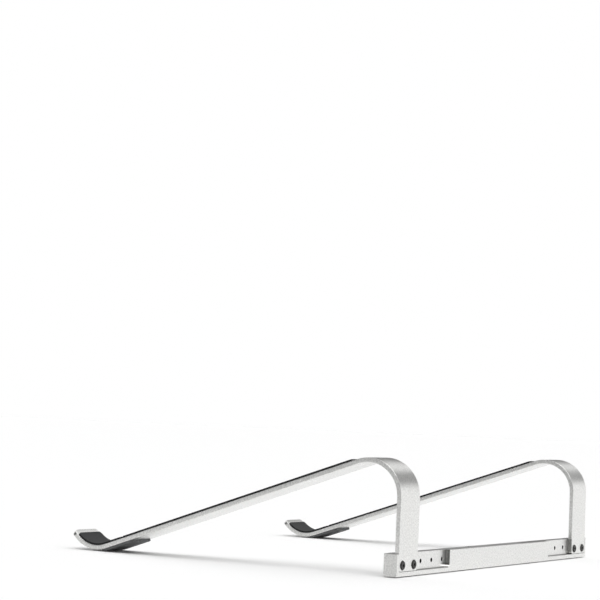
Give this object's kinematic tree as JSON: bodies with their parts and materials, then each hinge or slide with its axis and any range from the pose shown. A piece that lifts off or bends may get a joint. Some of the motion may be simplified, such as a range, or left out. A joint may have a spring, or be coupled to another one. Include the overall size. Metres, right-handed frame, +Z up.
{
  "type": "laptop stand",
  "caption": "Low desk stand for a laptop: bent aluminium strip arms with rubber pads and front hooks, screwed into recesses of a straight crossbar.",
  "frame": {"origin": "on the desk, under the middle of the footprint", "axes": "+X along the crossbar towards the right arm, +Y to the rear where the crossbar is, +Z up"},
  "size_m": [0.2644, 0.2151, 0.062],
  "materials": {
    "anodised_aluminium": "bead-blasted, clear anodised",
    "black_rubber": "matt",
    "grey_rubber": "matt",
    "black_steel": "black oxide"
  },
  "bodies": {
    "crossbar": {"crossbar": "anodised_aluminium", "right_outer_crossbar_foot": "grey_rubber", "right_inner_crossbar_foot": "grey_rubber", "left_outer_crossbar_foot": "grey_rubber", "left_inner_crossbar_foot": "grey_rubber"},
    "right_arm": {"right_arm": "anodised_aluminium", "right_rest_pad": "black_rubber", "right_hook_pad": "black_rubber", "right_front_foot": "grey_rubber"},
    "right_outer_screw": {"right_outer_screw": "black_steel"},
    "right_inner_screw": {"right_inner_screw": "black_steel"},
    "left_arm": {"left_arm": "anodised_aluminium", "left_rest_pad": "black_rubber", "left_hook_pad": "black_rubber", "left_front_foot": "grey_rubber"},
    "left_outer_screw": {"left_outer_screw": "black_steel"},
    "left_inner_screw": {"left_inner_screw": "black_steel"}
  },
  "joints": [
    {"name": "right_arm_draw_out", "type": "slide", "parent": "crossbar", "child": "right_arm", "axis": [0, 1, 0], "range_m": [0, 0.012]},
    {"name": "right_outer_screw_back_out", "type": "slide", "parent": "right_arm", "child": "right_outer_screw", "axis": [0, 1, 0], "range_m": [0, 0.01]},
    {"name": "right_inner_screw_back_out", "type": "slide", "parent": "right_arm", "child": "right_inner_screw", "axis": [0, 1, 0], "range_m": [0, 0.01]},
    {"name": "left_arm_draw_out", "type": "slide", "parent": "crossbar", "child": "left_arm", "axis": [0, 1, 0], "range_m": [0, 0.012]},
    {"name": "left_outer_screw_back_out", "type": "slide", "parent": "left_arm", "child": "left_outer_screw", "axis": [0, 1, 0], "range_m": [0, 0.01]},
    {"name": "left_inner_screw_back_out", "type": "slide", "parent": "left_arm", "child": "left_inner_screw", "axis": [0, 1, 0], "range_m": [0, 0.01]}
  ]
}
